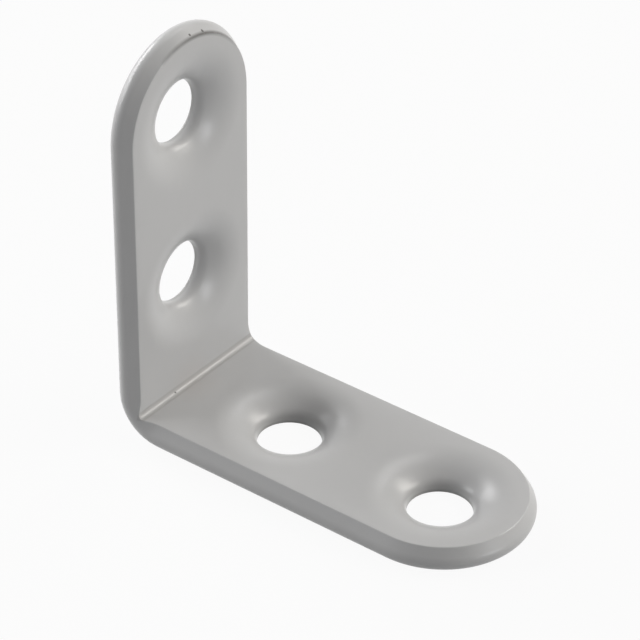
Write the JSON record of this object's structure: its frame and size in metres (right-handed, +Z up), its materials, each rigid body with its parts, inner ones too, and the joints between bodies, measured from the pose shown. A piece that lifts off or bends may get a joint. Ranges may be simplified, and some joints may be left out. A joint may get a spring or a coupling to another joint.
{
  "type": "angle bracket",
  "caption": "Small painted steel angle bracket with equal legs, half-round ends, soft countersunk screw holes in both legs and a tight inner bend.",
  "frame": {"origin": "outer corner of the bend at mid-width, where the outer faces of the two legs would meet", "axes": "+X from the corner along the base leg, +Y across the strip, +Z up the wall leg; the countersinks open towards +Z in the base leg and +X in the wall leg"},
  "size_m": [0.03, 0.0132, 0.03],
  "materials": {
    "paint": "smooth satin light grey paint"
  },
  "bodies": {
    "root": {"bracket": "paint"}
  },
  "joints": []
}
